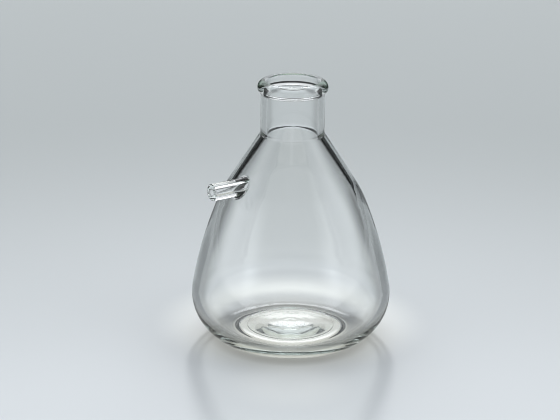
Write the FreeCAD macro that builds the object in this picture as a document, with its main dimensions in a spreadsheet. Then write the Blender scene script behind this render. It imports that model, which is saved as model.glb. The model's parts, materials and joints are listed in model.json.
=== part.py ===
"""Filter flask, nominal 500 ml: a thick-walled bell of clear glass with a beaded neck and a short side tube.

Frame: +Z up, origin at the middle of the base on the bench, the side tube pointing along -X. Millimetres and
degrees. The flask is four pieces of glass, sealed to each other in the flame:

  blown_body   the bell with its pushed-up base, from the bench to the seal under the neck
  neck_tube    the straight neck
  rim_bead     the rounded bead round the mouth
  side_tube    the hose tube, with the round foot that fills the hole in the bell's shoulder

The bell is a blank, turned about Z from its outside outline, less a hollow turned from its inside outline. A
round plug through the shoulder then divides that wall: the body keeps what is outside the plug, and the foot
of the side tube is what is inside it.
"""

import FreeCAD, Part
import math
import os

import Sketcher

OUT = "parts"
NEAR = 0.01  # how closely an edge is matched to the dimension that it was cut from

DIMENSIONS = {
    # the bell's outside: heel, flank and shoulder arcs, then a straight cone up to the neck
    "body_radius": 56.5,
    "body_equator": 27.3,
    "body_heel": 28.3,
    "body_flank_foot": 32.2,
    "body_flank": 242.0,
    "body_shoulder_foot": 81.6,
    "body_shoulder": 60.2,
    "body_throat_round": 4.0,
    # its inside, in the same order
    "hollow_radius": 52.2,
    "hollow_equator": 27.1,
    "hollow_heel": 21.6,
    "hollow_flank_foot": 30.9,
    "hollow_flank": 260.0,
    "hollow_shoulder_foot": 81.4,
    "hollow_shoulder": 61.5,
    "hollow_throat_round": 3.0,
    "cone_angle": 32.5,
    # the floor, and the punt pushed up under it inside the ring that stands on the bench
    "floor_crown": 10.4,
    "punt_crown": 4.4,
    "punt_dome": 338.0,
    "punt_edge_round": 3.0,
    "punt_slope": 55.0,
    "foot_ring_radius": 33.4,
    "foot_ring_round": 2.0,
    "toe_round": 6.0,
    # neck and bead
    "neck_radius": 17.85,
    "bore_radius": 14.4,
    "neck_seal": 123.0,
    "bead_seal": 143.0,
    "bead_radius": 19.75,
    "bead_section": 3.9,
    "bead_root_round": 0.8,
    "total_height": 151.0,
    # side tube
    "tube_height": 95.3,
    "tube_reach": 54.0,
    "tube_radius": 4.75,
    "tube_bore": 1.9,
    "tube_foot": 8.6,
    "tube_root_radius": 6.35,
    "tube_root_reach": 41.5,
    "tube_root_fillet": 1.5,
    "tube_end_round": 0.8,
}


def make_sheet(doc):
    """The driving dimensions, one row each: the name, then the number under an alias of that name."""
    sheet = doc.addObject("Spreadsheet::Sheet", "dimensions")
    for row, (name, value) in enumerate(DIMENSIONS.items(), start=1):
        sheet.set(f"A{row}", name)
        sheet.set(f"B{row}", str(value))
        sheet.setAlias(f"B{row}", name)
    doc.recompute()


def bound(text):
    """A sum or difference of dimension names, as an expression on the sheet."""
    return " ".join(f"dimensions.{word}" if word in DIMENSIONS else word for word in text.split())


def worth(text):
    """The present value of the same sum or difference."""
    total = 0.0
    sign = 1.0
    for word in text.split():
        if word in ("+", "-"):
            sign = 1.0 if word == "+" else -1.0
        else:
            total += sign * (DIMENSIONS[word] if word in DIMENSIONS else float(word))
    return total


def step(distance, angle):
    """The vector of this length at an angle in degrees above the sketch's horizontal."""
    turn = math.radians(angle)
    return FreeCAD.Vector(distance * math.cos(turn), distance * math.sin(turn), 0)


class Outline:
    """A sketch of a turned outline: its horizontal is the radius and its vertical the flask's axis."""

    START, END, CENTRE = 1, 2, 3
    ORIGIN = (-1, 1)
    BENCH, AXIS = -1, -2

    def __init__(self, sketch):
        self.sketch = sketch

    def line(self, start, end):
        return self.sketch.addGeometry(Part.LineSegment(start, end))

    def arc(self, centre, radius, low, high):
        """An arc that runs counter-clockwise from angle low to angle high."""
        circle = Part.Circle(centre, FreeCAD.Vector(0, 0, 1), radius)
        return self.sketch.addGeometry(Part.ArcOfCircle(circle, math.radians(low), math.radians(high)))

    def tie(self, kind, *where):
        self.sketch.addConstraint(Sketcher.Constraint(kind, *where))

    def size(self, kind, *where, to):
        """A dimension that follows a sum or difference of the sheet's names."""
        value = math.radians(worth(to)) if kind == "Angle" else worth(to)
        index = self.sketch.addConstraint(Sketcher.Constraint(kind, *where, value))
        self.sketch.setExpression(f"Constraints[{index}]", bound(to))

    def height(self, piece, point, to):
        self.size("DistanceY", *self.ORIGIN, piece, point, to=to)

    def radius(self, piece, point, to):
        self.size("DistanceX", *self.ORIGIN, piece, point, to=to)

    def start_of(self, piece):
        return self.sketch.getPoint(piece, self.START)

    def end_of(self, piece):
        return self.sketch.getPoint(piece, self.END)

    def check(self):
        if self.sketch.solve() != 0 or not self.sketch.FullyConstrained:
            raise RuntimeError(f"{self.sketch.Name} isn't solved and fully constrained")


def bell_side(outline, wall, neck):
    """The bell's side, in tangent pieces from the heel to the neck: returns the heel arc and the neck line.

    wall is the first word of the dimensions to use, body or hollow, and neck the name of the neck's radius.
    """
    heel = DIMENSIONS[f"{wall}_heel"]
    flank = DIMENSIONS[f"{wall}_flank"]
    shoulder = DIMENSIONS[f"{wall}_shoulder"]
    throat = DIMENSIONS[f"{wall}_throat_round"]
    cone_angle = DIMENSIONS["cone_angle"]
    heel_centre = FreeCAD.Vector(worth(f"{wall}_radius - {wall}_heel"), DIMENSIONS[f"{wall}_equator"], 0)
    flank_start = math.degrees(math.asin((DIMENSIONS[f"{wall}_flank_foot"] - heel_centre.y) / heel))
    flank_centre = heel_centre + step(heel - flank, flank_start)
    shoulder_start = math.degrees(math.asin((DIMENSIONS[f"{wall}_shoulder_foot"] - flank_centre.y) / flank))
    shoulder_centre = flank_centre + step(flank - shoulder, shoulder_start)
    cone_start = shoulder_centre + step(shoulder, cone_angle)
    corner_run = (cone_start.x - DIMENSIONS[neck]) / math.sin(math.radians(cone_angle))
    corner = cone_start + step(corner_run, 90 + cone_angle)
    tangent = throat * math.tan(math.radians(cone_angle / 2))
    cone_end = corner - step(tangent, 90 + cone_angle)
    neck_start = corner + step(tangent, 90)

    heel_arc = outline.arc(heel_centre, heel, -70, flank_start)
    flank_arc = outline.arc(flank_centre, flank, flank_start, shoulder_start)
    shoulder_arc = outline.arc(shoulder_centre, shoulder, shoulder_start, cone_angle)
    cone = outline.line(cone_start, cone_end)
    throat_arc = outline.arc(neck_start + step(throat, 0), throat, 180, 180 + cone_angle)
    neck_line = outline.line(neck_start, FreeCAD.Vector(neck_start.x, DIMENSIONS["neck_seal"], 0))

    outline.tie("Tangent", heel_arc, outline.END, flank_arc, outline.START)
    outline.tie("Tangent", flank_arc, outline.END, shoulder_arc, outline.START)
    outline.tie("Tangent", shoulder_arc, outline.END, cone, outline.START)
    outline.tie("Tangent", cone, outline.END, throat_arc, outline.END)
    outline.tie("Tangent", throat_arc, outline.START, neck_line, outline.START)
    outline.tie("Vertical", neck_line)
    outline.radius(heel_arc, outline.CENTRE, f"{wall}_radius - {wall}_heel")
    outline.height(heel_arc, outline.CENTRE, f"{wall}_equator")
    outline.size("Radius", heel_arc, to=f"{wall}_heel")
    outline.height(heel_arc, outline.END, f"{wall}_flank_foot")
    outline.size("Radius", flank_arc, to=f"{wall}_flank")
    outline.height(flank_arc, outline.END, f"{wall}_shoulder_foot")
    outline.size("Radius", shoulder_arc, to=f"{wall}_shoulder")
    outline.size("Angle", cone, to="90 + cone_angle")
    outline.size("Radius", throat_arc, to=f"{wall}_throat_round")
    outline.radius(neck_line, outline.START, neck)
    outline.height(neck_line, outline.END, "neck_seal")
    return heel_arc, neck_line


def close_on_axis(outline, neck_line, dome):
    """Closes an outline across the top and down the axis to the crown of its dome."""
    top = outline.end_of(neck_line)
    lid = outline.line(top, FreeCAD.Vector(0, top.y, 0))
    axis = outline.line(outline.end_of(lid), outline.end_of(dome))
    outline.tie("Coincident", neck_line, outline.END, lid, outline.START)
    outline.tie("Horizontal", lid)
    outline.tie("PointOnObject", lid, outline.END, outline.AXIS)
    outline.tie("Coincident", lid, outline.END, axis, outline.START)
    outline.tie("Coincident", axis, outline.END, dome, outline.END)
    outline.tie("PointOnObject", dome, outline.END, outline.AXIS)
    outline.tie("PointOnObject", dome, outline.CENTRE, outline.AXIS)


def draw_blank(sketch):
    """The bell's outside, and under it the punt's dome, its sloping wall and the ring on the bench."""
    outline = Outline(sketch)
    heel_arc, neck_line = bell_side(outline, "body", "neck_radius")
    slope = DIMENSIONS["punt_slope"]
    edge_round = DIMENSIONS["punt_edge_round"]
    ring_round = DIMENSIONS["foot_ring_round"]
    ring_centre = FreeCAD.Vector(DIMENSIONS["foot_ring_radius"], ring_round, 0)
    wall_foot = ring_centre + step(ring_round, -90 - slope)
    wall_rise = (DIMENSIONS["punt_crown"] - wall_foot.y) / math.sin(math.radians(slope)) / 2
    wall_head = wall_foot + step(wall_rise, 180 - slope)
    edge_centre = wall_head - step(edge_round, 90 - slope)
    dome_centre = FreeCAD.Vector(0, worth("punt_crown - punt_dome"), 0)
    dome_edge = 90 - math.degrees(math.asin(edge_centre.x / DIMENSIONS["punt_dome"]))

    toe_round = DIMENSIONS["toe_round"]
    toe_reach = worth("body_heel - toe_round")
    toe_drop = worth("body_equator - toe_round")
    toe_run = math.sqrt(toe_reach**2 - toe_drop**2)
    toe_centre = FreeCAD.Vector(worth("body_radius - body_heel") + toe_run, toe_round, 0)
    toe_end = -math.degrees(math.atan2(toe_drop, toe_run))

    dome = outline.arc(dome_centre, DIMENSIONS["punt_dome"], dome_edge, 90)
    edge = outline.arc(edge_centre, edge_round, 90 - slope, dome_edge)
    wall = outline.line(wall_head, wall_foot)
    ring = outline.arc(ring_centre, ring_round, -90 - slope, -90)
    toe = outline.arc(toe_centre, toe_round, -90, toe_end)
    bench = outline.line(outline.end_of(ring), outline.start_of(toe))

    outline.tie("Tangent", dome, outline.START, edge, outline.END)
    outline.tie("Tangent", edge, outline.START, wall, outline.START)
    outline.tie("Tangent", wall, outline.END, ring, outline.START)
    outline.tie("Tangent", ring, outline.END, bench, outline.START)
    outline.tie("Tangent", bench, outline.END, toe, outline.START)
    outline.tie("Tangent", toe, outline.END, heel_arc, outline.START)
    outline.tie("PointOnObject", bench, outline.START, outline.BENCH)
    outline.tie("Horizontal", bench)
    outline.size("Radius", dome, to="punt_dome")
    outline.size("Radius", edge, to="punt_edge_round")
    outline.size("Angle", wall, to="0 - punt_slope")
    outline.size("Radius", ring, to="foot_ring_round")
    outline.size("Radius", toe, to="toe_round")
    outline.radius(ring, outline.END, "foot_ring_radius")
    close_on_axis(outline, neck_line, dome)
    outline.height(dome, outline.END, "punt_crown")
    outline.check()


def draw_hollow(sketch):
    """The bell's inside: the same run of arcs, with a domed floor that flows into the heel."""
    outline = Outline(sketch)
    heel_arc, neck_line = bell_side(outline, "hollow", "bore_radius")
    crown = DIMENSIONS["floor_crown"]
    valley_radius = worth("hollow_radius - hollow_heel")
    drop = crown - worth("hollow_equator - hollow_heel")
    dome_radius = (valley_radius**2 + drop**2) / (2 * drop)
    dome_edge = 90 - math.degrees(math.asin(valley_radius / (dome_radius + DIMENSIONS["hollow_heel"])))
    dome = outline.arc(FreeCAD.Vector(0, crown - dome_radius, 0), dome_radius, dome_edge, 90)
    outline.tie("Tangent", dome, outline.START, heel_arc, outline.START)
    close_on_axis(outline, neck_line, dome)
    outline.height(dome, outline.END, "floor_crown")
    outline.check()


def upright_sketch(doc, name, draw):
    """A free sketch that stands on the bench, with Z as its vertical."""
    sketch = doc.addObject("Sketcher::SketchObject", name)
    sketch.Placement = FreeCAD.Placement(FreeCAD.Vector(), FreeCAD.Rotation(FreeCAD.Vector(1, 0, 0), 90))
    draw(sketch)
    return sketch


def turned(doc, name, sketch):
    """The solid that a closed outline sweeps about Z."""
    solid = doc.addObject("Part::Revolution", name)
    solid.Source = sketch
    solid.Axis = FreeCAD.Vector(0, 0, 1)
    solid.Angle = 360
    solid.Solid = True
    return solid


def on_tube_line(solid):
    """Lays a primitive from the flask's axis out along the side tube's line."""
    solid.Placement = FreeCAD.Placement(FreeCAD.Vector(), FreeCAD.Rotation(FreeCAD.Vector(0, 1, 0), -90))
    solid.setExpression("Placement.Base.z", bound("tube_height"))
    return solid


def rod(doc, name, radius, length):
    cylinder = on_tube_line(doc.addObject("Part::Cylinder", name))
    cylinder.setExpression("Radius", bound(radius))
    cylinder.setExpression("Height", bound(length))
    return cylinder


def root_cone(doc):
    """The tube's thicker root, which tapers to the tube's own radius clear of the wall."""
    cone = on_tube_line(doc.addObject("Part::Cone", "root_cone"))
    cone.setExpression("Placement.Base.x", bound("0 - neck_radius"))
    cone.setExpression("Radius1", bound("tube_root_radius"))
    cone.setExpression("Radius2", bound("tube_radius"))
    cone.setExpression("Height", bound("tube_root_reach - neck_radius"))
    return cone


def boolean(doc, kind, name, base, tool):
    result = doc.addObject(f"Part::{kind}", name)
    result.Base = base
    result.Tool = tool
    return result


def make_side_tube(doc, bell, blank, plug):
    """The foot disc cut from the bell's wall, the tube on it, its air passage, and fire-polished edges."""
    foot = boolean(doc, "Common", "tube_foot", bell, plug)
    straight = rod(doc, "straight_tube", "tube_radius", "tube_reach")
    tube = boolean(doc, "Fuse", "tube_and_root", straight, root_cone(doc))
    outside = boolean(doc, "Cut", "tube_outside", tube, blank)
    unbored = boolean(doc, "Fuse", "unbored_tube", foot, outside)
    passage = rod(doc, "air_passage", "tube_bore", "tube_reach + tube_radius")
    bored = boolean(doc, "Cut", "bored_tube", unbored, passage)
    doc.recompute()
    side_tube = doc.addObject("Part::Fillet", "side_tube")
    side_tube.Base = bored
    side_tube.Edges = polished_edges(bored.Shape)
    return side_tube


def polished_edges(shape):
    """The edges that the flame rounds, each with its radius: at the root, the tip and the mouth inside."""
    fillet = DIMENSIONS["tube_root_fillet"]
    end_round = DIMENSIONS["tube_end_round"]
    picked = []
    for index, edge in enumerate(shape.Edges, start=1):
        if isinstance(edge.Curve, Part.Line):
            continue
        points = edge.discretize(9)
        off_line = [math.hypot(point.y, point.z - DIMENSIONS["tube_height"]) for point in points]
        outside_tube = min(off_line) > DIMENSIONS["tube_radius"] + NEAR
        inside_foot = max(off_line) < DIMENSIONS["tube_foot"] - NEAR
        in_passage = max(off_line) < DIMENSIONS["tube_bore"] + NEAR
        at_tip = max(point.x for point in points) < NEAR - DIMENSIONS["tube_reach"]
        if outside_tube and inside_foot:
            picked.append((index, fillet, fillet))
        elif at_tip or in_passage:
            picked.append((index, end_round, end_round))
    return picked


def own_plane(body, role):
    return next(feature for feature in body.Origin.OriginFeatures if feature.Role == role)


def turned_body(doc, name, draw):
    """A PartDesign body turned about Z from one closed outline."""
    body = doc.addObject("PartDesign::Body", name)
    sketch = body.newObject("Sketcher::SketchObject", f"{name}_outline")
    sketch.AttachmentSupport = [(own_plane(body, "XZ_Plane"), "")]
    sketch.MapMode = "FlatFace"
    draw(sketch)
    turn = body.newObject("PartDesign::Revolution", f"{name}_turn")
    turn.Profile = sketch
    turn.ReferenceAxis = (sketch, ["V_Axis"])
    turn.Angle = 360
    return body


def draw_neck(sketch):
    """The neck's wall between its two seals."""
    outline = Outline(sketch)
    inner = DIMENSIONS["bore_radius"]
    outer = DIMENSIONS["neck_radius"]
    low = DIMENSIONS["neck_seal"]
    high = DIMENSIONS["bead_seal"]
    corners = [FreeCAD.Vector(*at, 0) for at in ((inner, low), (outer, low), (outer, high), (inner, high))]
    sides = [outline.line(corner, corners[(turn + 1) % 4]) for turn, corner in enumerate(corners)]
    for turn, side in enumerate(sides):
        outline.tie("Coincident", side, outline.END, sides[(turn + 1) % 4], outline.START)
        outline.tie("Vertical" if turn % 2 else "Horizontal", side)
    outline.radius(sides[0], outline.START, "bore_radius")
    outline.radius(sides[0], outline.END, "neck_radius")
    outline.height(sides[0], outline.START, "neck_seal")
    outline.height(sides[2], outline.START, "bead_seal")
    outline.check()


def draw_bead(sketch):
    """The bead: a fillet out of the neck, one round outside to the top, and a smaller round into the bore."""
    outline = Outline(sketch)
    section = DIMENSIONS["bead_section"]
    root_round = DIMENSIONS["bead_root_round"]
    seal = DIMENSIONS["bead_seal"]
    inner = DIMENSIONS["bore_radius"]
    outer = DIMENSIONS["neck_radius"]
    centre = FreeCAD.Vector(worth("bead_radius - bead_section"), worth("total_height - bead_section"), 0)
    root_run = outer + root_round - centre.x
    root_drop = math.sqrt((section + root_round) ** 2 - root_run**2)
    root_centre = centre + FreeCAD.Vector(root_run, -root_drop, 0)
    root_angle = -math.degrees(math.atan2(root_drop, root_run))
    mouth_round = centre.x - inner
    mouth_centre = FreeCAD.Vector(centre.x, DIMENSIONS["total_height"] - mouth_round, 0)

    stub = outline.line(FreeCAD.Vector(outer, seal, 0), root_centre - step(root_round, 0))
    root = outline.arc(root_centre, root_round, 180 + root_angle, 180)
    outside = outline.arc(centre, section, root_angle, 90)
    mouth = outline.arc(mouth_centre, mouth_round, 90, 180)
    bore = outline.line(outline.end_of(mouth), FreeCAD.Vector(inner, seal, 0))
    foot = outline.line(outline.end_of(bore), outline.start_of(stub))

    outline.tie("Tangent", stub, outline.END, root, outline.END)
    outline.tie("Tangent", root, outline.START, outside, outline.START)
    outline.tie("Tangent", outside, outline.END, mouth, outline.START)
    outline.tie("Tangent", mouth, outline.END, bore, outline.START)
    outline.tie("Coincident", bore, outline.END, foot, outline.START)
    outline.tie("Coincident", foot, outline.END, stub, outline.START)
    outline.tie("Vertical", outside, outline.CENTRE, outside, outline.END)
    outline.tie("Vertical", bore)
    outline.tie("Vertical", stub)
    outline.tie("Horizontal", foot)
    outline.size("Radius", root, to="bead_root_round")
    outline.size("Radius", outside, to="bead_section")
    outline.radius(outside, outline.CENTRE, "bead_radius - bead_section")
    outline.height(outside, outline.END, "total_height")
    outline.radius(stub, outline.START, "neck_radius")
    outline.height(stub, outline.START, "bead_seal")
    outline.radius(bore, outline.END, "bore_radius")
    outline.check()


def make_flask(doc):
    """The four pieces of glass, each named by its Label."""
    blank = turned(doc, "bell_blank", upright_sketch(doc, "blank_outline", draw_blank))
    hollow = turned(doc, "bell_hollow", upright_sketch(doc, "hollow_outline", draw_hollow))
    bell = boolean(doc, "Cut", "bell_wall", blank, hollow)
    plug = rod(doc, "foot_plug", "tube_foot", "body_radius")
    return [
        boolean(doc, "Cut", "blown_body", bell, plug),
        turned_body(doc, "neck_tube", draw_neck),
        turned_body(doc, "rim_bead", draw_bead),
        make_side_tube(doc, bell, blank, plug),
    ]


def check(doc, pieces):
    """Stops with a message if anything failed to compute, or a piece isn't one valid solid."""
    failed = [item.Name for item in doc.Objects if {"Invalid", "Error"} & set(item.State)]
    if failed:
        raise RuntimeError(f"these objects failed: {failed}")
    for piece in pieces:
        shape = piece.Shape
        if shape.isNull() or not shape.isValid() or len(shape.Solids) != 1:
            raise RuntimeError(f"{piece.Label} isn't one valid solid")


def main():
    doc = FreeCAD.newDocument("filter_flask")
    make_sheet(doc)
    pieces = make_flask(doc)
    doc.recompute()
    check(doc, pieces)
    os.makedirs(OUT, exist_ok=True)
    for piece in pieces:
        piece.Shape.exportStep(os.path.join(OUT, f"{piece.Label}.step"))
        print(piece.Label, round(piece.Shape.Volume), "mm3")


main()
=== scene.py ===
"""A filter flask of clear glass on a pale studio floor.

The four pieces of glass are dense meshes with exact normals, because what glass looks like depends on the
slope of every surface that a ray crosses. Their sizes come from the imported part. Where one piece is sealed
to the next, both meshes are closed by a face of the weld material, which light crosses as if it weren't
there, so the four pieces look like the one flask that they are.
"""

import json
import math

import bpy
import numpy as np
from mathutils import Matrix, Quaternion, Vector


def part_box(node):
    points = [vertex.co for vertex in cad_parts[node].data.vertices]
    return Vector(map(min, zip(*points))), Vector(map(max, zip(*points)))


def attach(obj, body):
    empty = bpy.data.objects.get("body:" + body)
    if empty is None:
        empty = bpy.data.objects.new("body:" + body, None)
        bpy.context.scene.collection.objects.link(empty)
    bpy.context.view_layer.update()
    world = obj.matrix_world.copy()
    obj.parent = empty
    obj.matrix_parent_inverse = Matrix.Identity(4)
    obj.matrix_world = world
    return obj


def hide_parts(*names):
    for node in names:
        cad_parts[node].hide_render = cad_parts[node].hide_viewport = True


MM = 0.001
UP = np.array([0.0, 0.0, 1.0])

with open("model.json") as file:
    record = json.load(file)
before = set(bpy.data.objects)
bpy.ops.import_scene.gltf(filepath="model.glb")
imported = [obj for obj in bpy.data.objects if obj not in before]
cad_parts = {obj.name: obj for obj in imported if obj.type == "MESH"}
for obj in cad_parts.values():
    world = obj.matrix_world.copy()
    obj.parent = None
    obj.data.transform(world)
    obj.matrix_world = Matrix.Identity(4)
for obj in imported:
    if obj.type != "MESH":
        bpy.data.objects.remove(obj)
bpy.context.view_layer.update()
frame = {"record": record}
mounts = {mount["name"]: mount for mount in frame["record"]["mounts"]}
_, body_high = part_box("blown_body")
bead_low, bead_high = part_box("rim_bead")
tube_low, tube_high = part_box("side_tube")

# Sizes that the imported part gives.
BODY_RADIUS = body_high.x
NECK_SEAL = body_high.z
BEAD_SEAL = bead_low.z
TOP = bead_high.z
BORE_RADIUS = mounts["neck_bore"]["dims"]["r_mm"] * MM
TUBE_RADIUS = mounts["hose_tube"]["dims"]["r_mm"] * MM
TUBE_HEIGHT = mounts["hose_tube"]["pos_m"][2]
TUBE_TIP = -tube_low.x
TUBE_FOOT = (tube_high.z - tube_low.z) / 2

# The rest of the shape.
CONE_ANGLE = math.radians(32.5)
NECK_RADIUS = 17.85 * MM
ROOT_REACH = 41.5 * MM  # where the side tube's taper ends, from the flask's axis
MARK_WIDTH = 0.6 * MM  # of the ring that the mould's plate left

# The meshes.
GLASS, WELD = 0, 1  # material slots on every piece
COLUMNS = 192  # mesh columns round the axis
ROW_STEP = 1.1 * MM  # between rows low on the flank
LEAST_STEP = 0.3 * MM
BLOCK_SIDE = 24  # mesh cells on each side of the square block that holds the side tube's hole
BLOCK_HALF = 12 * MM
BLOCK_HEIGHTS = TUBE_HEIGHT + np.linspace(-BLOCK_HALF, BLOCK_HALF, BLOCK_SIDE + 1)


# Outlines: arrays of rows (radius, height, normal's radius part, normal's height part), in metres, which
# run anticlockwise round the glass as seen with the axis on the left.


def arc(centre, radius, start, end, rows, bulge=1):
    """Points of an arc between two angles in degrees. bulge is 1 if glass fills it and -1 if it doesn't."""
    angles = np.radians(np.linspace(start, end, rows))
    across, up = np.cos(angles), np.sin(angles)
    places = (centre[0] + radius * across, centre[1] + radius * up)
    return np.stack([*places, bulge * across, bulge * up], axis=1)


def line(start, end, rows):
    """Points of a straight run, whose normal is to the right of its direction."""
    start, end = np.array(start, float), np.array(end, float)
    along = (end - start) / np.linalg.norm(end - start)
    points = start + np.linspace(0, 1, rows)[:, None] * (end - start)
    normal = np.tile([along[1], -along[0]], (rows, 1))
    return np.hstack([points, normal])


def joined(*runs):
    """Tangent runs as one, with each shared point kept once."""
    return np.vstack([runs[0]] + [run[1:] for run in runs[1:]])


class Bell:
    """One side of the bell's wall: heel, flank and shoulder arcs, a straight cone and the throat's round.

    radius is the greatest, at the equator's height. heel, flank, shoulder and throat are radii of arcs, and
    the flank's and shoulder's arcs start at the heights of their feet. neck is the radius above the throat.
    """

    def __init__(self, radius, equator, heel, flank_foot, flank, shoulder_foot, shoulder, neck, throat):
        self.heel, self.flank, self.shoulder, self.throat, self.neck = heel, flank, shoulder, throat, neck
        self.heel_centre = np.array([radius - heel, equator])
        self.flank_foot, self.shoulder_foot = flank_foot, shoulder_foot
        self.flank_start = math.asin((flank_foot - equator) / heel)
        self.flank_centre = self.heel_centre + (heel - flank) * self.towards(self.flank_start)
        shoulder_start = math.asin((shoulder_foot - self.flank_centre[1]) / flank)
        self.shoulder_centre = self.flank_centre + (flank - shoulder) * self.towards(shoulder_start)
        self.cone_start = self.shoulder_centre + shoulder * self.towards(CONE_ANGLE)
        corner = self.cone_start[1] + (self.cone_start[0] - neck) / math.tan(CONE_ANGLE)
        tangent = throat * math.tan(CONE_ANGLE / 2)
        self.cone_end = corner - tangent * math.cos(CONE_ANGLE)
        self.neck_start = corner + tangent

    @staticmethod
    def towards(angle):
        return np.array([math.cos(angle), math.sin(angle)])

    def at(self, height):
        """Radius and outward normal at heights between the flank's foot and the end of the cone."""
        height = np.asarray(height, float)
        on_flank = height < self.shoulder_foot
        below_cone = height < self.cone_start[1]
        centre = np.where(on_flank, self.flank_centre[0], self.shoulder_centre[0])
        level = np.where(on_flank, self.flank_centre[1], self.shoulder_centre[1])
        radius = np.where(on_flank, self.flank, self.shoulder)
        up = np.where(below_cone, (height - level) / radius, math.sin(CONE_ANGLE))
        across = np.sqrt(1 - up**2)
        on_arc = centre + radius * across
        on_cone = self.cone_start[0] - (height - self.cone_start[1]) * math.tan(CONE_ANGLE)
        return np.where(below_cone, on_arc, on_cone), across, up

    def side(self, heights):
        radius, across, up = self.at(heights)
        return np.stack([radius, heights, across, up], axis=1)

    def upper(self):
        """The side above the heel, with rows at the block's heights, then the throat and neck."""
        heights = np.concatenate([
            np.arange(self.flank_foot, BLOCK_HEIGHTS[0] - LEAST_STEP, ROW_STEP),
            BLOCK_HEIGHTS,
            np.linspace(BLOCK_HEIGHTS[-1], self.cone_end, 12)[1:],
        ])
        throat_centre = (self.neck + self.throat, self.neck_start)
        throat_end = 180 + math.degrees(CONE_ANGLE)
        throat = arc(throat_centre, self.throat, throat_end, 180, 8, bulge=-1)
        neck = line((self.neck, self.neck_start), (self.neck, NECK_SEAL), 4)
        return joined(self.side(heights), throat, neck)


outside = Bell(
    radius=BODY_RADIUS,
    equator=27.3 * MM,
    heel=28.3 * MM,
    flank_foot=32.2 * MM,
    flank=242 * MM,
    shoulder_foot=81.6 * MM,
    shoulder=60.2 * MM,
    neck=NECK_RADIUS,
    throat=4 * MM,
)
inside = Bell(
    radius=52.2 * MM,
    equator=27.1 * MM,
    heel=21.6 * MM,
    flank_foot=30.9 * MM,
    flank=260 * MM,
    shoulder_foot=81.4 * MM,
    shoulder=61.5 * MM,
    neck=BORE_RADIUS,
    throat=3 * MM,
)


class Mesh:
    """Points and faces of one piece, with the exact normal of the surface at every face corner."""

    def __init__(self):
        self.points, self.faces, self.normals, self.slots = [], [], [], []

    def add(self, points):
        first = len(self.points)
        self.points.extend(map(tuple, points))
        return np.arange(first, first + len(points))

    def face(self, corners, normals, slot):
        self.faces.append([int(corner) for corner in corners])
        self.normals.extend(tuple(normal) for normal in normals)
        self.slots.append(slot)

    def band(self, low, high, low_normals, high_normals, slot=GLASS, skip=()):
        """Closed band of faces between two rings of points. It faces outwards if the rings run that way."""
        count = len(low)
        for column in range(count):
            following = (column + 1) % count
            if column in skip:
                continue
            corners = (low[column], low[following], high[following], high[column])
            low_pair = (low_normals[column], low_normals[following])
            high_pair = (high_normals[following], high_normals[column])
            self.face(corners, low_pair + high_pair, slot)

    def fan(self, ring, ring_normals, pole, pole_normal, facing_up):
        """Triangles from a ring to the point at its middle."""
        count = len(ring)
        for column in range(count):
            following = (column + 1) % count
            pair = (column, following) if facing_up else (following, column)
            corners = (pole, ring[pair[0]], ring[pair[1]])
            self.face(corners, (pole_normal, ring_normals[pair[0]], ring_normals[pair[1]]), GLASS)

    def build(self, name, node):
        """Makes the object, without the points that no face uses, and puts it in its node's place."""
        used, faces = np.unique(np.concatenate(self.faces), return_inverse=True)
        cuts = np.cumsum([len(face) for face in self.faces])[:-1]
        data = bpy.data.meshes.new(name)
        data.from_pydata([self.points[index] for index in used], [], np.split(faces, cuts))
        data.materials.append(glass_material)
        data.materials.append(weld_material)
        data.polygons.foreach_set("material_index", self.slots)
        data.polygons.foreach_set("use_smooth", [True] * len(self.faces))
        data.normals_split_custom_set(self.normals)
        piece = bpy.data.objects.new(name, data)
        bpy.context.scene.collection.objects.link(piece)
        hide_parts(node)
        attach(piece, "root")


# Turned surfaces.
AROUND = np.arange(COLUMNS) * 2 * math.pi / COLUMNS


def turned_points(row):
    return np.stack([row[0] * np.cos(AROUND), row[0] * np.sin(AROUND), np.full(COLUMNS, row[1])], axis=1)


def turned_normals(row):
    return np.stack([row[2] * np.cos(AROUND), row[2] * np.sin(AROUND), np.full(COLUMNS, row[3])], axis=1)


def turn(mesh, outline, first_ring=None, hole_rows=(), hole_columns=()):
    """Turns an outline about the axis and returns its rings of points. first_ring is used again if given."""
    if first_ring is None:
        first_ring = mesh.add(turned_points(outline[0]))
    rings = [first_ring] + [mesh.add(turned_points(row)) for row in outline[1:]]
    for index in range(len(outline) - 1):
        skip = hole_columns if index in hole_rows else ()
        low, high = outline[index], outline[index + 1]
        mesh.band(rings[index], rings[index + 1], turned_normals(low), turned_normals(high), skip=skip)
    return rings


# Round the side tube, directions are angles about its line, anticlockwise as seen from its tip, from the
# block's lower right corner. Points there are (across, above) from the line, and out is away from the
# flask's axis.
RING = 4 * BLOCK_SIDE
RING_ANGLES = math.radians(-45) + np.arange(RING) * 2 * math.pi / RING
RING_DIRECTIONS = np.stack([np.cos(RING_ANGLES), np.sin(RING_ANGLES)], axis=1)


def on_wall(bell, spots, facing=1):
    """Points and normals of the bell's wall over spots given as (across, above) from the tube's line."""
    height = TUBE_HEIGHT + spots[:, 1]
    radius, across, up = bell.at(height)
    y = -spots[:, 0]
    x = -np.sqrt(radius**2 - y**2)
    points = np.stack([x, y, height], axis=1)
    normals = np.stack([across * x / radius, across * y / radius, up], axis=1)
    return points, facing * normals


def out_at(bell, reach):
    """How far out the wall is at each ring direction, at this distance from the tube's line."""
    points, _ = on_wall(bell, RING_DIRECTIONS * np.asarray(reach).reshape(-1, 1))
    return -points[:, 0]


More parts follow.
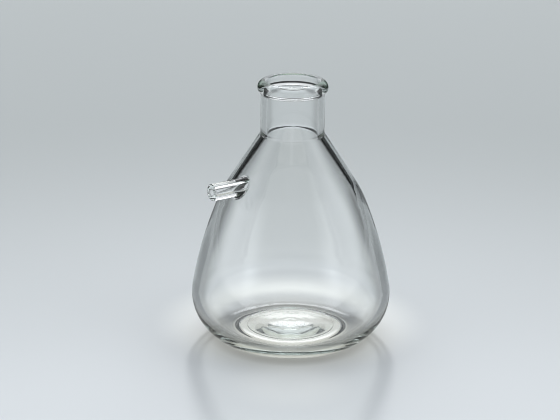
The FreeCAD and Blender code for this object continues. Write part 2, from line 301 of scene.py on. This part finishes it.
def hole_patch(mesh, bell, rings, rows, columns, facing):
    """Fills the square left in the turned wall up to the tube's round foot. Returns the ring there."""
    low, high = rows
    left, right = columns
    edge = [rings[row][right] for row in range(low, high)]
    edge += [rings[high][column] for column in range(right, left, -1)]
    edge += [rings[row][left] for row in range(high, low, -1)]
    edge += [rings[low][column] for column in range(left, right)]
    square = np.array([mesh.points[index] for index in edge])
    square_spots = np.stack([-square[:, 1], square[:, 2] - TUBE_HEIGHT], axis=1)
    round_spots = TUBE_FOOT * RING_DIRECTIONS
    ring = np.array(edge)
    _, normals = on_wall(bell, square_spots, facing)
    for share in (0.2, 0.4, 0.6, 0.8, 1.0):
        points, inner_normals = on_wall(bell, square_spots + share * (round_spots - square_spots), facing)
        inner_ring = mesh.add(points)
        if facing > 0:
            mesh.band(ring, inner_ring, normals, inner_normals)
        else:
            mesh.band(inner_ring, ring, inner_normals, normals)
        ring, normals = inner_ring, inner_normals
    return ring


def rippled(outline, depth, pitch, reach, mark=0):
    """Low rings in a dome, like those that a blown base keeps, fading out towards their reach.

    mark is the height of a narrow ring at the reach, where the plate of the mould ended.
    """
    radius = outline[:, 0]
    fade = np.clip(1 - (radius / reach) ** 2, 0, None) ** 2
    phase = 2 * math.pi * radius / pitch
    rise = depth * fade * np.cos(phase) + mark * np.exp(-(((radius - reach) / MARK_WIDTH) ** 2))
    slope = np.gradient(rise, radius, edge_order=2)
    facing = np.sign(outline[:, 3])
    across = outline[:, 2] - facing * slope
    up = outline[:, 3]
    length = np.hypot(across, up)
    return np.stack([radius, outline[:, 1] + rise, across / length, up / length], axis=1)


def punt_outline():
    """The underside from the axis: rippled dome, the punt's wall, the ring on the bench, toe and heel."""
    dome, crown = 338 * MM, 4.4 * MM
    slope, edge_round, ring_round, toe_round = 55, 3 * MM, 2 * MM, 6 * MM
    ring_centre = np.array([33.4 * MM, ring_round])
    steep = math.radians(slope)
    foot = ring_centre + ring_round * np.array([-math.sin(steep), -math.cos(steep)])
    # The edge's arc touches the dome inside it and the wall's line: its centre is edge_round in from both.
    inner_dome = dome - edge_round
    dome_centre = crown - dome
    offset = foot - edge_round * np.array([math.sin(steep), math.cos(steep)])
    along = np.array([-math.cos(steep), math.sin(steep)])
    gap = offset - np.array([0, dome_centre])
    middle = gap @ along
    travel = -middle + math.sqrt(middle**2 - gap @ gap + inner_dome**2)
    edge_centre = offset + travel * along
    head = foot + travel * along
    dome_edge = math.degrees(math.atan2(edge_centre[1] - dome_centre, edge_centre[0]))
    toe_reach = outside.heel - toe_round
    toe_drop = outside.heel_centre[1] - toe_round
    toe_run = math.sqrt(toe_reach**2 - toe_drop**2)
    toe_centre = (outside.heel_centre[0] + toe_run, toe_round)
    toe_end = -math.degrees(math.atan2(toe_drop, toe_run))
    flat = line((ring_centre[0], 0), (toe_centre[0], 0), 6)
    toe = arc(toe_centre, toe_round, -90, toe_end, 6)
    heel = arc(outside.heel_centre, outside.heel, toe_end, math.degrees(outside.flank_start), 44)
    smooth_dome = arc((0, dome_centre), dome, 90, dome_edge, 110, bulge=-1)
    dome_run = rippled(smooth_dome, depth=0.018 * MM, pitch=4.6 * MM, reach=25 * MM, mark=0.12 * MM)
    edge = arc(edge_centre, edge_round, dome_edge, 90 - slope, 8, bulge=-1)
    wall = line(head, foot, 6)
    ring = arc(ring_centre, ring_round, -90 - slope, -90, 8)
    return joined(dome_run, edge, wall, ring, flat, toe, heel)


def floor_outline():
    """The inside of the heel and the domed floor, from the flank's foot down to the axis."""
    crown = 10.4 * MM
    valley = inside.heel_centre[0]
    drop = crown - (inside.heel_centre[1] - inside.heel)
    dome = (valley**2 + drop**2) / (2 * drop) - inside.heel
    dome_edge = 90 - math.degrees(math.asin(valley / (dome + inside.heel)))
    heel_start = math.degrees(inside.flank_start)
    heel = arc(inside.heel_centre, inside.heel, heel_start, dome_edge - 180, 56, bulge=-1)
    smooth_dome = arc((0, crown - dome), dome, dome_edge, 90, 48)
    return joined(heel, rippled(smooth_dome, depth=0.02 * MM, pitch=6.5 * MM, reach=25 * MM))


def body_outside(mesh, columns):
    """The underside and the outside up to the seal. Returns the rings at the seal and at the hole."""
    under, upper = punt_outline(), outside.upper()
    outline = joined(under, upper)
    pole = mesh.add([(0, 0, outline[0, 1])])[0]
    # Rows are counted from the first one after the pole.
    first = len(under) - 2 + int(np.argmin(abs(upper[:, 1] - BLOCK_HEIGHTS[0])))
    rows = (first, first + BLOCK_SIDE)
    rings = turn(mesh, outline[1:], hole_rows=range(*rows), hole_columns=range(*columns))
    mesh.fan(rings[0], turned_normals(outline[1]), pole, -UP, facing_up=False)
    return rings[-1], hole_patch(mesh, outside, rings, rows, columns, facing=1)


def body_inside(mesh, columns):
    """The inside from the seal down to the floor. Returns the rings at the seal and at the hole."""
    upper = inside.upper()
    upper[:, 2:] *= -1
    outline = joined(upper[::-1], floor_outline())
    low_row = len(upper) - 1 - int(np.argmin(abs(upper[:, 1] - BLOCK_HEIGHTS[0])))
    high_row = low_row - BLOCK_SIDE
    rings = turn(mesh, outline[:-1], hole_rows=range(high_row, low_row), hole_columns=range(*columns))
    pole = mesh.add([(0, 0, outline[-1, 1])])[0]
    mesh.fan(rings[-1], turned_normals(outline[-2]), pole, UP, facing_up=True)
    # The patch counts its rows upwards.
    last = len(rings) - 1
    rows = (last - low_row, last - high_row)
    return rings[0], hole_patch(mesh, inside, rings[::-1], rows, columns, facing=-1)


def make_body():
    """The bell, closed by weld faces under the neck and round the side tube's hole."""
    mesh = Mesh()
    left = COLUMNS // 2 - BLOCK_SIDE // 2
    columns = (left, left + BLOCK_SIDE)
    outer_seal, outer_hole = body_outside(mesh, columns)
    inner_seal, inner_hole = body_inside(mesh, columns)
    up = np.tile(UP, (COLUMNS, 1))
    mesh.band(outer_seal, inner_seal, up, up, WELD)
    to_line = np.stack([np.zeros(RING), RING_DIRECTIONS[:, 0], -RING_DIRECTIONS[:, 1]], axis=1)
    mesh.band(outer_hole, inner_hole, to_line, to_line, WELD)
    mesh.build("blown_body_glass", "blown_body")


def turned_ring(name, node, outer, inner, capped_top):
    """A piece with a hole through it: outside upwards, then inside downwards, closed by weld faces."""
    mesh = Mesh()
    outer_rings = turn(mesh, outer)
    if capped_top:
        inner_rings = turn(mesh, inner)
        up = np.tile(UP, (COLUMNS, 1))
        mesh.band(outer_rings[-1], inner_rings[0], up, up, WELD)
    else:
        inner_rings = turn(mesh, inner, first_ring=outer_rings[-1])
    down = np.tile(-UP, (COLUMNS, 1))
    mesh.band(inner_rings[-1], outer_rings[0], down, down, WELD)
    mesh.build(name, node)


def make_neck():
    outer = line((NECK_RADIUS, NECK_SEAL), (NECK_RADIUS, BEAD_SEAL), 17)
    inner = line((BORE_RADIUS, BEAD_SEAL), (BORE_RADIUS, NECK_SEAL), 17)
    turned_ring("neck_tube_glass", "neck_tube", outer, inner, capped_top=True)


def make_bead():
    """The bead: a fillet out of the neck, a round outside, and a smaller round over into the bore."""
    section, root_round = 3.9 * MM, 0.8 * MM
    centre = np.array([bead_high.x - section, TOP - section])
    root_run = NECK_RADIUS + root_round - centre[0]
    root_drop = math.sqrt((section + root_round) ** 2 - root_run**2)
    root_centre = centre + np.array([root_run, -root_drop])
    root_angle = -math.degrees(math.atan2(root_drop, root_run))
    mouth_round = centre[0] - BORE_RADIUS
    mouth_centre = (centre[0], TOP - mouth_round)
    stub = line((NECK_RADIUS, BEAD_SEAL), (NECK_RADIUS, root_centre[1]), 3)
    root = arc(root_centre, root_round, 180, 180 + root_angle, 8, bulge=-1)
    round_outside = arc(centre, section, root_angle, 90, 40)
    mouth = arc(mouth_centre, mouth_round, 90, 180, 20)
    bore = line((BORE_RADIUS, mouth_centre[1]), (BORE_RADIUS, BEAD_SEAL), 7)
    outer = joined(stub, root, round_outside)
    turned_ring("rim_bead_glass", "rim_bead", outer, joined(mouth, bore), capped_top=False)


def tube_ring(reach, out, spread, rise):
    """Points and normals of a ring round the tube's line. spread and rise are the outline's direction."""
    reach, out, spread, rise = (np.broadcast_to(value, RING) for value in (reach, out, spread, rise))
    across, above = RING_DIRECTIONS[:, 0], RING_DIRECTIONS[:, 1]
    points = np.stack([-out, -reach * across, TUBE_HEIGHT + reach * above], axis=1)
    along = np.stack([-rise, -spread * across, spread * above], axis=1)
    normals = np.cross(np.roll(points, -1, axis=0) - np.roll(points, 1, axis=0), along)
    return points, normals / np.linalg.norm(normals, axis=1)[:, None]


def corner_round(bell, tube, radius, taper=0):
    """A round between the wall and a tube that tapers to its straight part, in each ring direction.

    Returns where the round meets the wall and where its centre is, both as distances from the tube's line,
    how far out the centre is, and the angle at which it sees the wall. Each pass brings them closer.
    """
    step, passes = 0.01 * MM, 30
    reach = np.full(RING, tube + radius)
    for _ in range(passes):
        slope = (out_at(bell, reach + step) - out_at(bell, reach - step)) / (2 * step)
        out = out_at(bell, reach) + radius / np.hypot(slope, 1)
        middle = tube + taper * (ROOT_REACH - out) + radius
        reach = middle + radius * slope / np.hypot(slope, 1)
    return reach, middle, out, np.arctan2(-1, slope)


def tube_outside(fillet, taper, tip_start):
    """Rings of the tube's foot in the wall, its fillet, its tapered root and its straight part."""
    touch, middle, centre, facing_wall = corner_round(outside, TUBE_RADIUS, fillet, taper)
    swell, root_length = middle - fillet - TUBE_RADIUS, ROOT_REACH - centre
    narrowing = 2 * swell / root_length
    rings = []
    for share in np.linspace(0, 1, 6):
        rings.append(on_wall(outside, RING_DIRECTIONS * (TUBE_FOOT + share * (touch - TUBE_FOOT))[:, None]))
    for share in np.linspace(0, 1, 10)[1:]:
        angle = facing_wall + share * (narrowing - math.pi - facing_wall)
        across, up = np.cos(angle), np.sin(angle)
        rings.append(tube_ring(middle + fillet * across, centre + fillet * up, up, -across))
    for share in np.linspace(0, 1, 8)[1:]:
        left = 1 - share
        reach = TUBE_RADIUS + swell * left**2
        rings.append(tube_ring(reach, ROOT_REACH - root_length * left, -narrowing * left, 1))
    for out in np.linspace(ROOT_REACH, tip_start, 10)[1:]:
        rings.append(tube_ring(TUBE_RADIUS, out, 0, 1))
    return rings


def tube_tip(bore, polish, tip_start):
    """Rings over the polished tip, from the tube's outside into its bore."""
    rings = []
    outer_half = (TUBE_RADIUS - polish, np.linspace(0, 90, 9)[1:])
    inner_half = (bore + polish, np.linspace(90, 180, 9))
    for middle, angles in (outer_half, inner_half):
        for angle in np.radians(angles):
            across, up = math.cos(angle), math.sin(angle)
            rings.append(tube_ring(middle + polish * across, tip_start + polish * up, -up, across))
    return rings


def tube_inside(bore, polish, tip_start):
    """Rings of the bore, its round into the flask, and the inner wall out to the foot's edge."""
    touch, middle, centre, facing_wall = corner_round(inside, bore, polish)
    rings = []
    for share in np.linspace(0, 1, 16)[1:]:
        rings.append(tube_ring(bore, tip_start + share * (centre - tip_start), 0, -1))
    for share in np.linspace(0, 1, 8)[1:]:
        angle = -math.pi + share * (facing_wall + math.pi)
        across, up = np.cos(angle), np.sin(angle)
        rings.append(tube_ring(middle + polish * across, centre + polish * up, -up, across))
    for share in np.linspace(0, 1, 10)[1:]:
        spots = RING_DIRECTIONS * (touch + share * (TUBE_FOOT - touch))[:, None]
        rings.append(on_wall(inside, spots, facing=-1))
    return rings


def make_side_tube():
    bore, fillet, polish, taper = 1.9 * MM, 1.5 * MM, 0.8 * MM, 0.068
    tip_start = TUBE_TIP - polish
    rings = tube_outside(fillet, taper, tip_start)
    rings += tube_tip(bore, polish, tip_start)
    rings += tube_inside(bore, polish, tip_start)
    mesh = Mesh()
    indices = [mesh.add(points) for points, _ in rings]
    for index in range(len(rings) - 1):
        mesh.band(indices[index], indices[index + 1], rings[index][1], rings[index + 1][1])
    outward = np.stack([np.zeros(RING), -RING_DIRECTIONS[:, 0], RING_DIRECTIONS[:, 1]], axis=1)
    mesh.band(indices[-1], indices[0], outward, outward, WELD)
    mesh.build("side_tube_glass", "side_tube")


# The studio. Azimuths are from the flask, clockwise from the record's -Y.
VIEW_AZIMUTH = -35.4
VIEW_ELEVATION = 22.0
CAMERA_DISTANCE = 1.1546
AIM_TURN = 0.35
AIM_ELEVATION = 18.45
CAMERA_ROLL = 0.5
SENSOR_WIDTH = 36
FOCAL_LENGTH = 128.6
FLOOR_RADIUS = 1.3
KEY_ELEVATION = 34
KEY_DISTANCE = 6
KEY_SIZE = 0.6
KEY_WATTS = 170
BOUNCES = 16
WELDS_CROSSED = 48
FILTER_WIDTH = 1.0
DEGREES = 180 / math.pi

# Glass: the light that each colour loses in it per metre, its waves, and the share of a lamp's light that it
# lets through face on and at a glance, with how side-on a face is as the first turns into the second.
INDEX = 1.474
LOSSES = (("Red", -3.6), ("Green", -2.1), ("Blue", -2.7))
WAVES_PER_METRE = 38
WAVE_HEIGHT = 0.12 * MM
FACE_ON = (0.97, 0.975, 0.97, 1)
GLANCING = (0.17, 0.18, 0.18, 1)
GLANCING_STEP = (0.55, 0.85)

# Paper, lighter towards the camera by painted light that stands in for the lamps' falloff: how far in front
# of the flask its lightest place is, and its colours at two distances from there.
LIGHTEST_AHEAD = 0.3
PAPER_NEAR, PAPER_NEAR_AT = (0.68, 0.71, 0.73, 1), 0.12
PAPER_FAR, PAPER_FAR_AT = (0.424, 0.45, 0.454, 1), 0.78

# Dark cards beside the view: the angles beside it at which they begin and end, how much painted darkness
# they put on the paper as the glass shows it, anywhere and more so near the flask, and how dark they make
# the low part of the studio.
CARDS_BEGIN = (7, 17)
CARDS_END = (62, 40)
PAPER_DARKNESS = 0.25
NEAR_DARKNESS = 0.3
NEAR_REACH = (0.45, 0.3)
STUDIO_DARKNESS = 0.95
STUDIO_LOW = (18, 8)

# The shadow where the flask meets the paper: the distances from the axis at which it begins and ends.
CONTACT_BEGIN = (0.031, 0.036)
CONTACT_END = (0.049, 0.040)
CONTACT_DARKNESS = 0.35

# Light that the flask gathers onto the paper, which straight shadow rays don't bring there: how far in front
# of the axis each pool of it is, the radii of its edge and its core, and how bright it is. The third pool
# takes the light of the second away under the heel, so a ring of it is left behind the flask.
POOL_COLOUR = (1, 0.99, 0.88, 1)
POOLS = (
    (-0.045, 0.050, 0.000, 0.14),
    (-0.020, 0.084, 0.050, 0.20),
    (-0.020, 0.050, 0.036, -0.20),
    (0.001, 0.037, 0.030, 0.40),
    (0.072, 0.040, 0.010, 0.07),
)

# The studio's panels. Azimuths are from the camera's side of the flask, so 180 is behind it.
PANELS = (
    {"azimuth": -75, "half_width": 28, "low": -8, "high": 30, "soft": 14, "light": 1.15},
    {"azimuth": 75, "half_width": 28, "low": -8, "high": 42, "soft": 14, "light": 1.15},
    {"azimuth": 0, "half_width": 60, "low": -8, "high": 12, "soft": 8, "light": 0.85},
    {"azimuth": 180, "half_width": 38, "low": 3, "high": 60, "soft": 3, "light": 0.8},
    {"azimuth": 180, "half_width": 55, "low": 34, "high": 52, "soft": 6, "light": 0.8},
    {"azimuth": 180, "half_width": 11, "low": 29, "high": 40, "soft": 3, "light": 4},
    {"azimuth": 0, "half_width": 200, "low": 52, "high": 110, "soft": 6, "light": 1.2},
)
PANEL_COLOUR = (0.975, 1.0, 1.03)
ROOM_LIGHT = 0.006

# The backdrop, which fills the view and this many degrees beyond it.
BACKDROP = (0.50, 0.53, 0.54, 1)
BACKDROP_EDGE = (13, 10)


def direction(azimuth, elevation):
    """The unit vector from the flask towards an azimuth and elevation, in degrees."""
    heading, lift = math.radians(azimuth), math.radians(elevation)
    return Vector((math.sin(heading) * math.cos(lift), -math.cos(heading) * math.cos(lift), math.sin(lift)))


class Shader:
    """A node tree, with short forms for the nodes that materials share. Values are numbers or sockets."""

    def __init__(self, tree):
        self.tree = tree

    def node(self, kind, **settings):
        node = self.tree.nodes.new(kind)
        for name, value in settings.items():
            setattr(node, name, value)
        return node

    def link(self, source, target):
        self.tree.links.new(source, target)

    def maths(self, operation, *values):
        node = self.node("ShaderNodeMath", operation=operation)
        for socket, value in zip(node.inputs, values):
            if isinstance(value, (int, float)):
                socket.default_value = value
            else:
                self.link(value, socket)
        return node.outputs[0]

    def times(self, first, second):
        return self.maths("MULTIPLY", first, second)

    def one_minus(self, share):
        return self.maths("SUBTRACT", 1, share)

    def smooth_step(self, value, low, high):
        """0 below low, 1 above high and an eased ramp between. With low above high it falls instead."""
        ramp = self.node("ShaderNodeMapRange", interpolation_type="SMOOTHSTEP")
        ramp.inputs["From Min"].default_value = min(low, high)
        ramp.inputs["From Max"].default_value = max(low, high)
        ramp.inputs["To Min"].default_value = 0 if low < high else 1
        ramp.inputs["To Max"].default_value = 1 if low < high else 0
        self.link(value, ramp.inputs["Value"])
        return ramp.outputs["Result"]

    def ahead_distance(self, place, ahead):
        """How far a place is from the point on the floor this far in front of the flask's axis."""
        node = self.node("ShaderNodeVectorMath", operation="DISTANCE")
        node.inputs[1].default_value = ahead * direction(VIEW_AZIMUTH, 0)
        self.link(place, node.inputs[0])
        return node.outputs["Value"]

    def in_view(self, ray):
        """The right and forward parts of a direction, as the camera sees it."""
        turned = self.node("ShaderNodeVectorTransform", vector_type="VECTOR")
        turned.convert_from, turned.convert_to = "WORLD", "CAMERA"
        self.link(ray, turned.inputs[0])
        parts = self.node("ShaderNodeSeparateXYZ")
        self.link(turned.outputs[0], parts.inputs[0])
        return parts.outputs["X"], parts.outputs["Z"]

    def cards(self, right, forward, darkness):
        """The share of light that dark cards, just outside the picture on both sides, take away. On the
        paper it is painted darkness.
        """
        sideways = self.maths("ABSOLUTE", self.maths("ARCTAN2", right, forward))
        sideways = self.times(sideways, DEGREES)
        begin = self.smooth_step(sideways, *CARDS_BEGIN)
        end = self.smooth_step(sideways, *CARDS_END)
        return self.times(self.times(begin, end), darkness)


# Materials.


def new_material(name):
    material = bpy.data.materials.new(name)
    material.use_nodes = True
    material.node_tree.nodes.clear()
    shader = Shader(material.node_tree)
    return material, shader, shader.node("ShaderNodeOutputMaterial").inputs["Surface"]


def depth_tint(shader, path):
    """The colour left of a ray. Only one that reaches the back of a face has come through the glass."""
    geometry = shader.node("ShaderNodeNewGeometry")
    depth = shader.times(path.outputs["Ray Length"], geometry.outputs["Backfacing"])
    tint = shader.node("ShaderNodeCombineColor")
    for channel, loss in LOSSES:
        shader.link(shader.maths("EXPONENT", shader.times(depth, loss)), tint.inputs[channel])
    return tint.outputs[0]


def wavy_normal(shader):
    """Faint waves, as blown glass has."""
    place = shader.node("ShaderNodeTexCoord")
    waves = shader.node("ShaderNodeTexNoise")
    waves.inputs["Scale"].default_value = WAVES_PER_METRE
    waves.inputs["Detail"].default_value = 1
    shader.link(place.outputs["Object"], waves.inputs["Vector"])
    bump = shader.node("ShaderNodeBump")
    bump.inputs["Strength"].default_value = 1.0
    bump.inputs["Distance"].default_value = WAVE_HEIGHT
    shader.link(waves.outputs[0], bump.inputs["Height"])
    return bump.outputs[0]


def lamp_filter(shader):
    """Lets a lamp's light go straight through, but hardly at all where it meets the glass at a glance."""
    facing = shader.node("ShaderNodeLayerWeight")
    facing.inputs["Blend"].default_value = 0.5
    shade = shader.node("ShaderNodeMix", data_type="RGBA")
    shade.inputs["A"].default_value = FACE_ON
    shade.inputs["B"].default_value = GLANCING
    shader.link(shader.smooth_step(facing.outputs["Facing"], *GLANCING_STEP), shade.inputs["Factor"])
    clear = shader.node("ShaderNodeBsdfTransparent")
    shader.link(shade.outputs["Result"], clear.inputs["Color"])
    return clear.outputs[0]


def clear_glass():
    """Borosilicate glass: clear face on, grey-green where a ray runs far through it, with faint waves."""
    material, shader, surface = new_material("clear_glass")
    path = shader.node("ShaderNodeLightPath")
    glass = shader.node("ShaderNodeBsdfGlass")
    glass.inputs["IOR"].default_value = INDEX
    glass.inputs["Roughness"].default_value = 0.0
    shader.link(depth_tint(shader, path), glass.inputs["Color"])
    shader.link(wavy_normal(shader), glass.inputs["Normal"])
    mix = shader.node("ShaderNodeMixShader")
    shader.link(path.outputs["Is Shadow Ray"], mix.inputs[0])
    shader.link(glass.outputs[0], mix.inputs[1])
    shader.link(lamp_filter(shader), mix.inputs[2])
    shader.link(mix.outputs[0], surface)
    return material


def weld():
    """The face where two pieces are sealed together. No surface is there, so light goes straight on."""
    material, shader, surface = new_material("weld")
    shader.link(shader.node("ShaderNodeBsdfTransparent").outputs[0], surface)
    return material


def paper_with_painted_falloff(shader, place):
    """The paper's colour with painted light in it: lightest in front of the flask and darker away from
    there.
    """
    # Painted light: a ramp on the distance from a point in front of the flask stands in for how the lamps'
    # light falls off.
    tone = shader.node("ShaderNodeValToRGB")
    tone.color_ramp.interpolation = "EASE"
    near, far = tone.color_ramp.elements
    near.position, near.color = PAPER_NEAR_AT, PAPER_NEAR
    far.position, far.color = PAPER_FAR_AT, PAPER_FAR
    shader.link(shader.ahead_distance(place, LIGHTEST_AHEAD), tone.inputs[0])
    return tone.outputs[0]


def paper_brightness(shader, place):
    """The share of the paper's colour that shows.

    Painted darkness for the cards shows in it only as the glass sees it, and the painted contact shadow
    always shows.
    """
    geometry = shader.node("ShaderNodeNewGeometry")
    away = shader.node("ShaderNodeVectorMath", operation="SCALE")
    away.inputs["Scale"].default_value = -1
    shader.link(geometry.outputs["Incoming"], away.inputs[0])
    right, forward = shader.in_view(away.outputs[0])
    reach = shader.ahead_distance(place, 0)
    near = shader.times(shader.smooth_step(reach, *NEAR_REACH), NEAR_DARKNESS)
    # Painted darkness: paper that the glass sees beside the view is darker, for dark cards that no object in
    # the scene stands for.
    carded = shader.one_minus(shader.cards(right, forward, shader.maths("ADD", near, PAPER_DARKNESS)))
    path = shader.node("ShaderNodeLightPath")
    direct = shader.maths("MAXIMUM", path.outputs["Is Camera Ray"], path.outputs["Is Diffuse Ray"])
    begin = shader.smooth_step(reach, *CONTACT_BEGIN)
    end = shader.smooth_step(reach, *CONTACT_END)
    contact = shader.times(shader.times(begin, end), CONTACT_DARKNESS)
    return shader.times(shader.maths("MAXIMUM", carded, direct), shader.one_minus(contact))


def gathered_light(shader, place):
    gathered = 0
    for ahead, edge, core, light in POOLS:
        pool = shader.smooth_step(shader.ahead_distance(place, ahead), edge, core)
        gathered = shader.maths("ADD", shader.times(pool, light), gathered)
    glow = shader.node("ShaderNodeEmission")
    glow.inputs["Color"].default_value = POOL_COLOUR
    shader.link(gathered, glow.inputs["Strength"])
    return glow.outputs[0]


def pale_floor():
    """Matt paper, with painted light falling off away from the front, the flask's contact shadow and the
    light that it gathers.
    """
    material, shader, surface = new_material("pale_floor")
    place = shader.node("ShaderNodeTexCoord").outputs["Object"]
    paper = shader.node("ShaderNodeMix", data_type="RGBA")
    paper.inputs["A"].default_value = (0, 0, 0, 1)
    shader.link(paper_brightness(shader, place), paper.inputs["Factor"])
    shader.link(paper_with_painted_falloff(shader, place), paper.inputs["B"])
    matt = shader.node("ShaderNodeBsdfDiffuse")
    shader.link(paper.outputs["Result"], matt.inputs["Color"])
    both = shader.node("ShaderNodeAddShader")
    shader.link(matt.outputs[0], both.inputs[0])
    shader.link(gathered_light(shader, place), both.inputs[1])
    shader.link(both.outputs[0], surface)
    return material


# The stage, the light and the camera.


def make_floor():
    bpy.ops.mesh.primitive_circle_add(vertices=128, radius=FLOOR_RADIUS, fill_type="NGON")
    floor = bpy.context.object
    floor.name = "floor"
    floor.data.materials.append(pale_floor())


def make_key():
    """The lamp that throws the flask's shadow forwards. The panels stand in for it in the glass."""
    lamp = bpy.data.lights.new("key", "AREA")
    lamp.shape = "DISK"
    lamp.size = KEY_SIZE
    lamp.energy = KEY_WATTS
    key = bpy.data.objects.new("key", lamp)
    way = direction(VIEW_AZIMUTH + 180, KEY_ELEVATION)
    key.location = KEY_DISTANCE * way
    key.rotation_euler = way.to_track_quat("Z", "Y").to_euler()
    key.visible_camera = False
    key.visible_glossy = False
    key.visible_transmission = False
    bpy.context.scene.collection.objects.link(key)


def panel_light(shader, azimuth, elevation, panel):
    """Light from one soft-edged panel of the studio. azimuth and elevation are sockets in degrees."""
    off = shader.maths("WRAP", shader.maths("SUBTRACT", azimuth, panel["azimuth"]), 180, -180)
    half, soft = panel["half_width"], panel["soft"]
    across = shader.smooth_step(shader.maths("ABSOLUTE", off), half + soft, half - soft)
    above = shader.smooth_step(elevation, panel["low"] - soft, panel["low"] + soft)
    below = shader.smooth_step(elevation, panel["high"] + soft, panel["high"] - soft)
    return shader.times(shader.times(across, shader.times(above, below)), panel["light"])


def studio_light(shader, ray, right, forward):
    """The brightness of the studio: its panels, less what the dark cards take low down beside the view."""
    parts = shader.node("ShaderNodeSeparateXYZ")
    shader.link(ray, parts.inputs[0])
    elevation = shader.times(shader.maths("ARCSINE", parts.outputs["Z"]), DEGREES)
    south = shader.times(parts.outputs["Y"], -1)
    azimuth = shader.times(shader.maths("ARCTAN2", parts.outputs["X"], south), DEGREES)
    azimuth = shader.maths("SUBTRACT", azimuth, VIEW_AZIMUTH)
    light = ROOM_LIGHT
    for panel in PANELS:
        light = shader.maths("ADD", panel_light(shader, azimuth, elevation, panel), light)
    carded = shader.cards(right, forward, STUDIO_DARKNESS)
    low_down = shader.smooth_step(elevation, *STUDIO_LOW)
    return shader.times(light, shader.one_minus(shader.times(carded, low_down)))


def make_world():
    """The studio: soft panels, dark cards beside the view, and a pale backdrop behind it."""
    world = bpy.data.worlds.new("studio")
    world.use_nodes = True
    shader = Shader(world.node_tree)
    ray = shader.node("ShaderNodeTexCoord").outputs["Generated"]
    right, forward = shader.in_view(ray)
    panels = shader.node("ShaderNodeVectorMath", operation="SCALE")
    panels.inputs[0].default_value = PANEL_COLOUR
    shader.link(studio_light(shader, ray, right, forward), panels.inputs["Scale"])
    tone = shader.node("ShaderNodeMix", data_type="RGBA")
    shader.link(panels.outputs[0], tone.inputs["A"])
    tone.inputs["B"].default_value = BACKDROP
    off_view = shader.times(shader.maths("ARCCOSINE", forward), DEGREES)
    shader.link(shader.smooth_step(off_view, *BACKDROP_EDGE), tone.inputs["Factor"])
    shader.link(tone.outputs["Result"], world.node_tree.nodes["Background"].inputs["Color"])
    bpy.context.scene.world = world


def make_camera():
    """The camera stands VIEW_ELEVATION above the bench, and is aimed above the base and rolled a little."""
    lens = bpy.data.cameras.new("camera")
    lens.sensor_width = SENSOR_WIDTH
    lens.lens = FOCAL_LENGTH
    camera = bpy.data.objects.new("camera", lens)
    camera.location = CAMERA_DISTANCE * direction(VIEW_AZIMUTH, VIEW_ELEVATION)
    heading = -direction(VIEW_AZIMUTH + AIM_TURN, AIM_ELEVATION)
    roll = Quaternion((0, 0, 1), math.radians(CAMERA_ROLL))
    camera.rotation_mode = "QUATERNION"
    camera.rotation_quaternion = heading.to_track_quat("-Z", "Y") @ roll
    bpy.context.scene.collection.objects.link(camera)
    bpy.context.scene.camera = camera


def set_rendering():
    """Few enough bounces that light trapped in the wall goes dark, and a narrow filter for crisp lines."""
    scene = bpy.context.scene
    scene.view_settings.view_transform = "Standard"
    scene.cycles.max_bounces = BOUNCES
    scene.cycles.transmission_bounces = BOUNCES
    scene.cycles.glossy_bounces = BOUNCES
    scene.cycles.transparent_max_bounces = WELDS_CROSSED
    scene.cycles.filter_width = FILTER_WIDTH
    scene.cycles.caustics_reflective = False
    scene.cycles.caustics_refractive = False


glass_material = clear_glass()
weld_material = weld()
make_body()
make_neck()
make_bead()
make_side_tube()
make_floor()
make_world()
make_key()
make_camera()
set_rendering()
